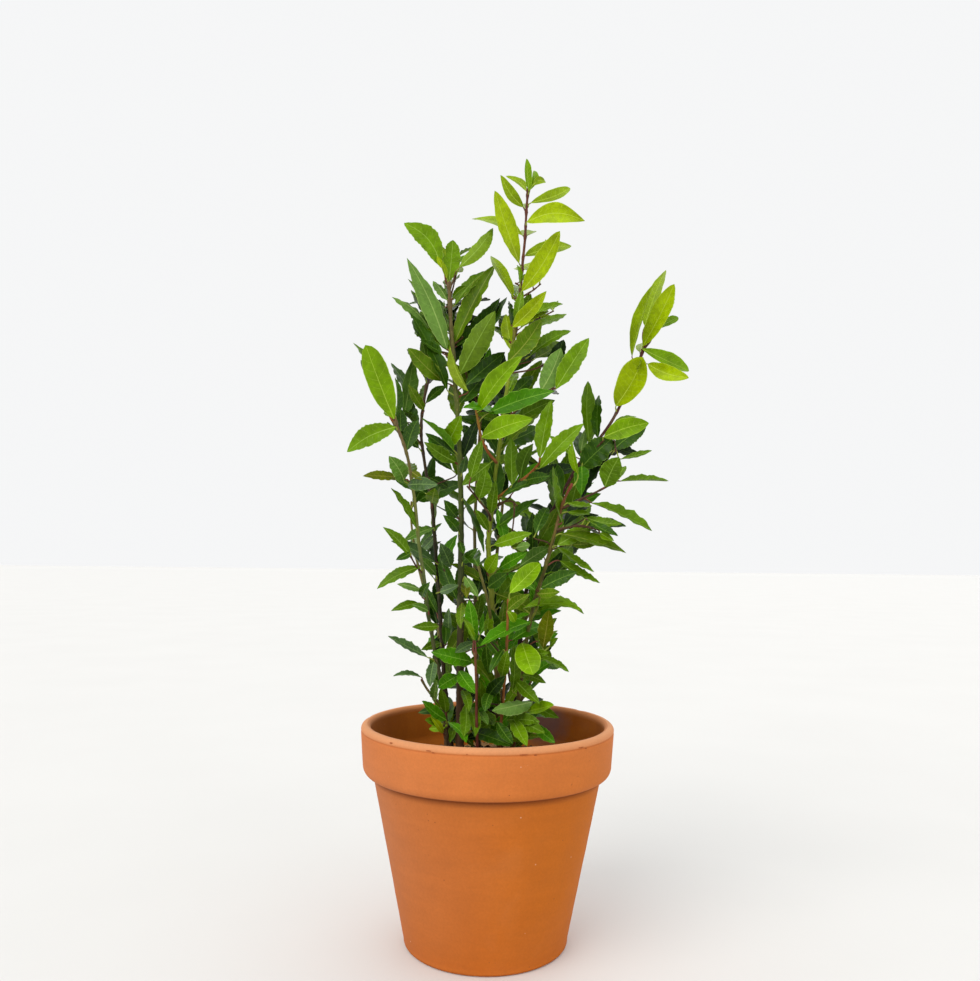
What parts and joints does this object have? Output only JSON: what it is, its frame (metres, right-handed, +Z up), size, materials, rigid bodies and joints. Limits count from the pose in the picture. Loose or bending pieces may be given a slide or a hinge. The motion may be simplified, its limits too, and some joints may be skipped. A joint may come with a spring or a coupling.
{
  "type": "potted bay laurel shrub",
  "caption": "Young multi-stemmed bay laurel with an open crown of lance-shaped leaves, standing in a plain round tapered clay pot with a thick collar.",
  "frame": {"origin": "centre of the pot's flat underside, on the pot's own axis", "axes": "+Z up along the pot's axis and the stems; +X to the right of the plant's front view; +Y to its back"},
  "size_m": [0.395, 0.29, 0.887],
  "materials": {
    "terracotta": "unglazed, matt, slightly mottled",
    "compost": "moist potting compost with dry litter, rough",
    "bark": "smooth young bark, olive to purple-brown, satin",
    "leaf": "leathery mature leaf, satin",
    "leaf_young": "young lime-green leaf, satin"
  },
  "bodies": {
    "root": {"pot": "terracotta", "compost": "compost", "stem_main": "bark", "stem_left": "bark", "stem_left_inner": "bark", "stem_centre": "bark", "stem_right": "bark", "stem_right_front": "bark", "stem_back": "bark", "shoot_front": "bark", "shoot_right": "bark", "bough_back_left": "bark", "bough_back_centre": "bark", "bough_back_right": "bark", "bough_back_low": "bark", "bough_front": "bark", "bough_left_foot": "bark", "bough_right_foot": "bark", "foliage_tip_main": "leaf_young", "foliage_main_upper": "leaf", "foliage_tip_centre": "leaf_young", "foliage_centre_high": "leaf_young", "foliage_centre_upper": "leaf", "foliage_left_top": "leaf", "foliage_left_mid": "leaf", "foliage_left_low_mid": "leaf", "foliage_left_low": "leaf", "foliage_left_foot": "leaf", "foliage_main_mid": "leaf", "foliage_centre_mid": "leaf", "foliage_centre_core": "leaf", "foliage_right_tip": "leaf_young", "foliage_right_upper": "leaf", "foliage_right_mid": "leaf", "foliage_centre_low": "leaf", "foliage_right_low": "leaf", "foliage_right_foot": "leaf", "foliage_foot": "leaf", "foliage_back_left": "leaf", "foliage_back_centre": "leaf", "foliage_back_right": "leaf", "foliage_back_low": "leaf", "foliage_back_top": "leaf", "foliage_front": "leaf"}
  },
  "joints": []
}
